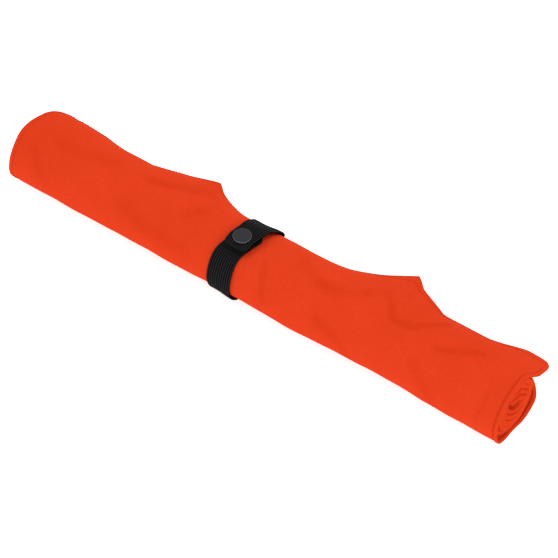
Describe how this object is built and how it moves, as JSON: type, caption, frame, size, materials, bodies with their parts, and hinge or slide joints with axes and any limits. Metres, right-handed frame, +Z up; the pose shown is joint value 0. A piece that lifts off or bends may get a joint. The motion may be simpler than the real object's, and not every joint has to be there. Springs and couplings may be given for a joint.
{
  "type": "rolled fire blanket",
  "caption": "Hemmed sheet of coated heat-resistant cloth, rolled into a tube and held closed by an elastic strap with a snap fastener.",
  "frame": {"origin": "on the flattened resting face, under the middle of the roll", "axes": "+X along the roll towards its right end, -Y towards the front, +Z up"},
  "size_m": [0.47, 0.0735, 0.0667],
  "materials": {
    "coated_cloth": "matt silicone-coated woven cloth, orange-red",
    "orange_thread": "matt sewing thread, orange-red",
    "black_elastic": "ribbed woven elastic, black",
    "black_thread": "matt sewing thread, black",
    "gunmetal": "dark gunmetal plating, nearly matt",
    "plated_brass": "nickel-plated brass, satin"
  },
  "bodies": {
    "roll": {"blanket_sheet": "coated_cloth", "hem_right_end": "coated_cloth", "hem_left_end": "coated_cloth", "hem_free_edge": "coated_cloth", "hem_inner_edge": "coated_cloth", "thread_right_end": "orange_thread", "thread_left_end": "orange_thread", "thread_free_edge": "orange_thread", "thread_inner_edge": "orange_thread", "strap_wrap": "black_elastic", "strap_tack_upper": "black_thread", "strap_tack_lower": "black_thread", "snap_stud": "plated_brass", "snap_post": "plated_brass"},
    "strap_bend": {"strap_link": "black_elastic"},
    "tab": {"strap_tab": "black_elastic", "tab_stitch": "black_thread", "snap_cap": "gunmetal", "snap_socket": "plated_brass", "snap_spring": "plated_brass"}
  },
  "joints": [
    {"name": "strap_open", "type": "hinge", "parent": "roll", "child": "strap_bend", "pos_m": [-0.0197, 0.02754, 0.0452], "axis": [-1, 0, 0], "range_deg": [0, 120], "deforming": ["snap_spring"]},
    {"name": "tab_peel", "type": "hinge", "parent": "strap_bend", "child": "tab", "pos_m": [-0.02044, 0.00721, 0.06474], "axis": [-1, 0, 0], "range_deg": [0, 135], "deforming": ["snap_spring"]}
  ]
}
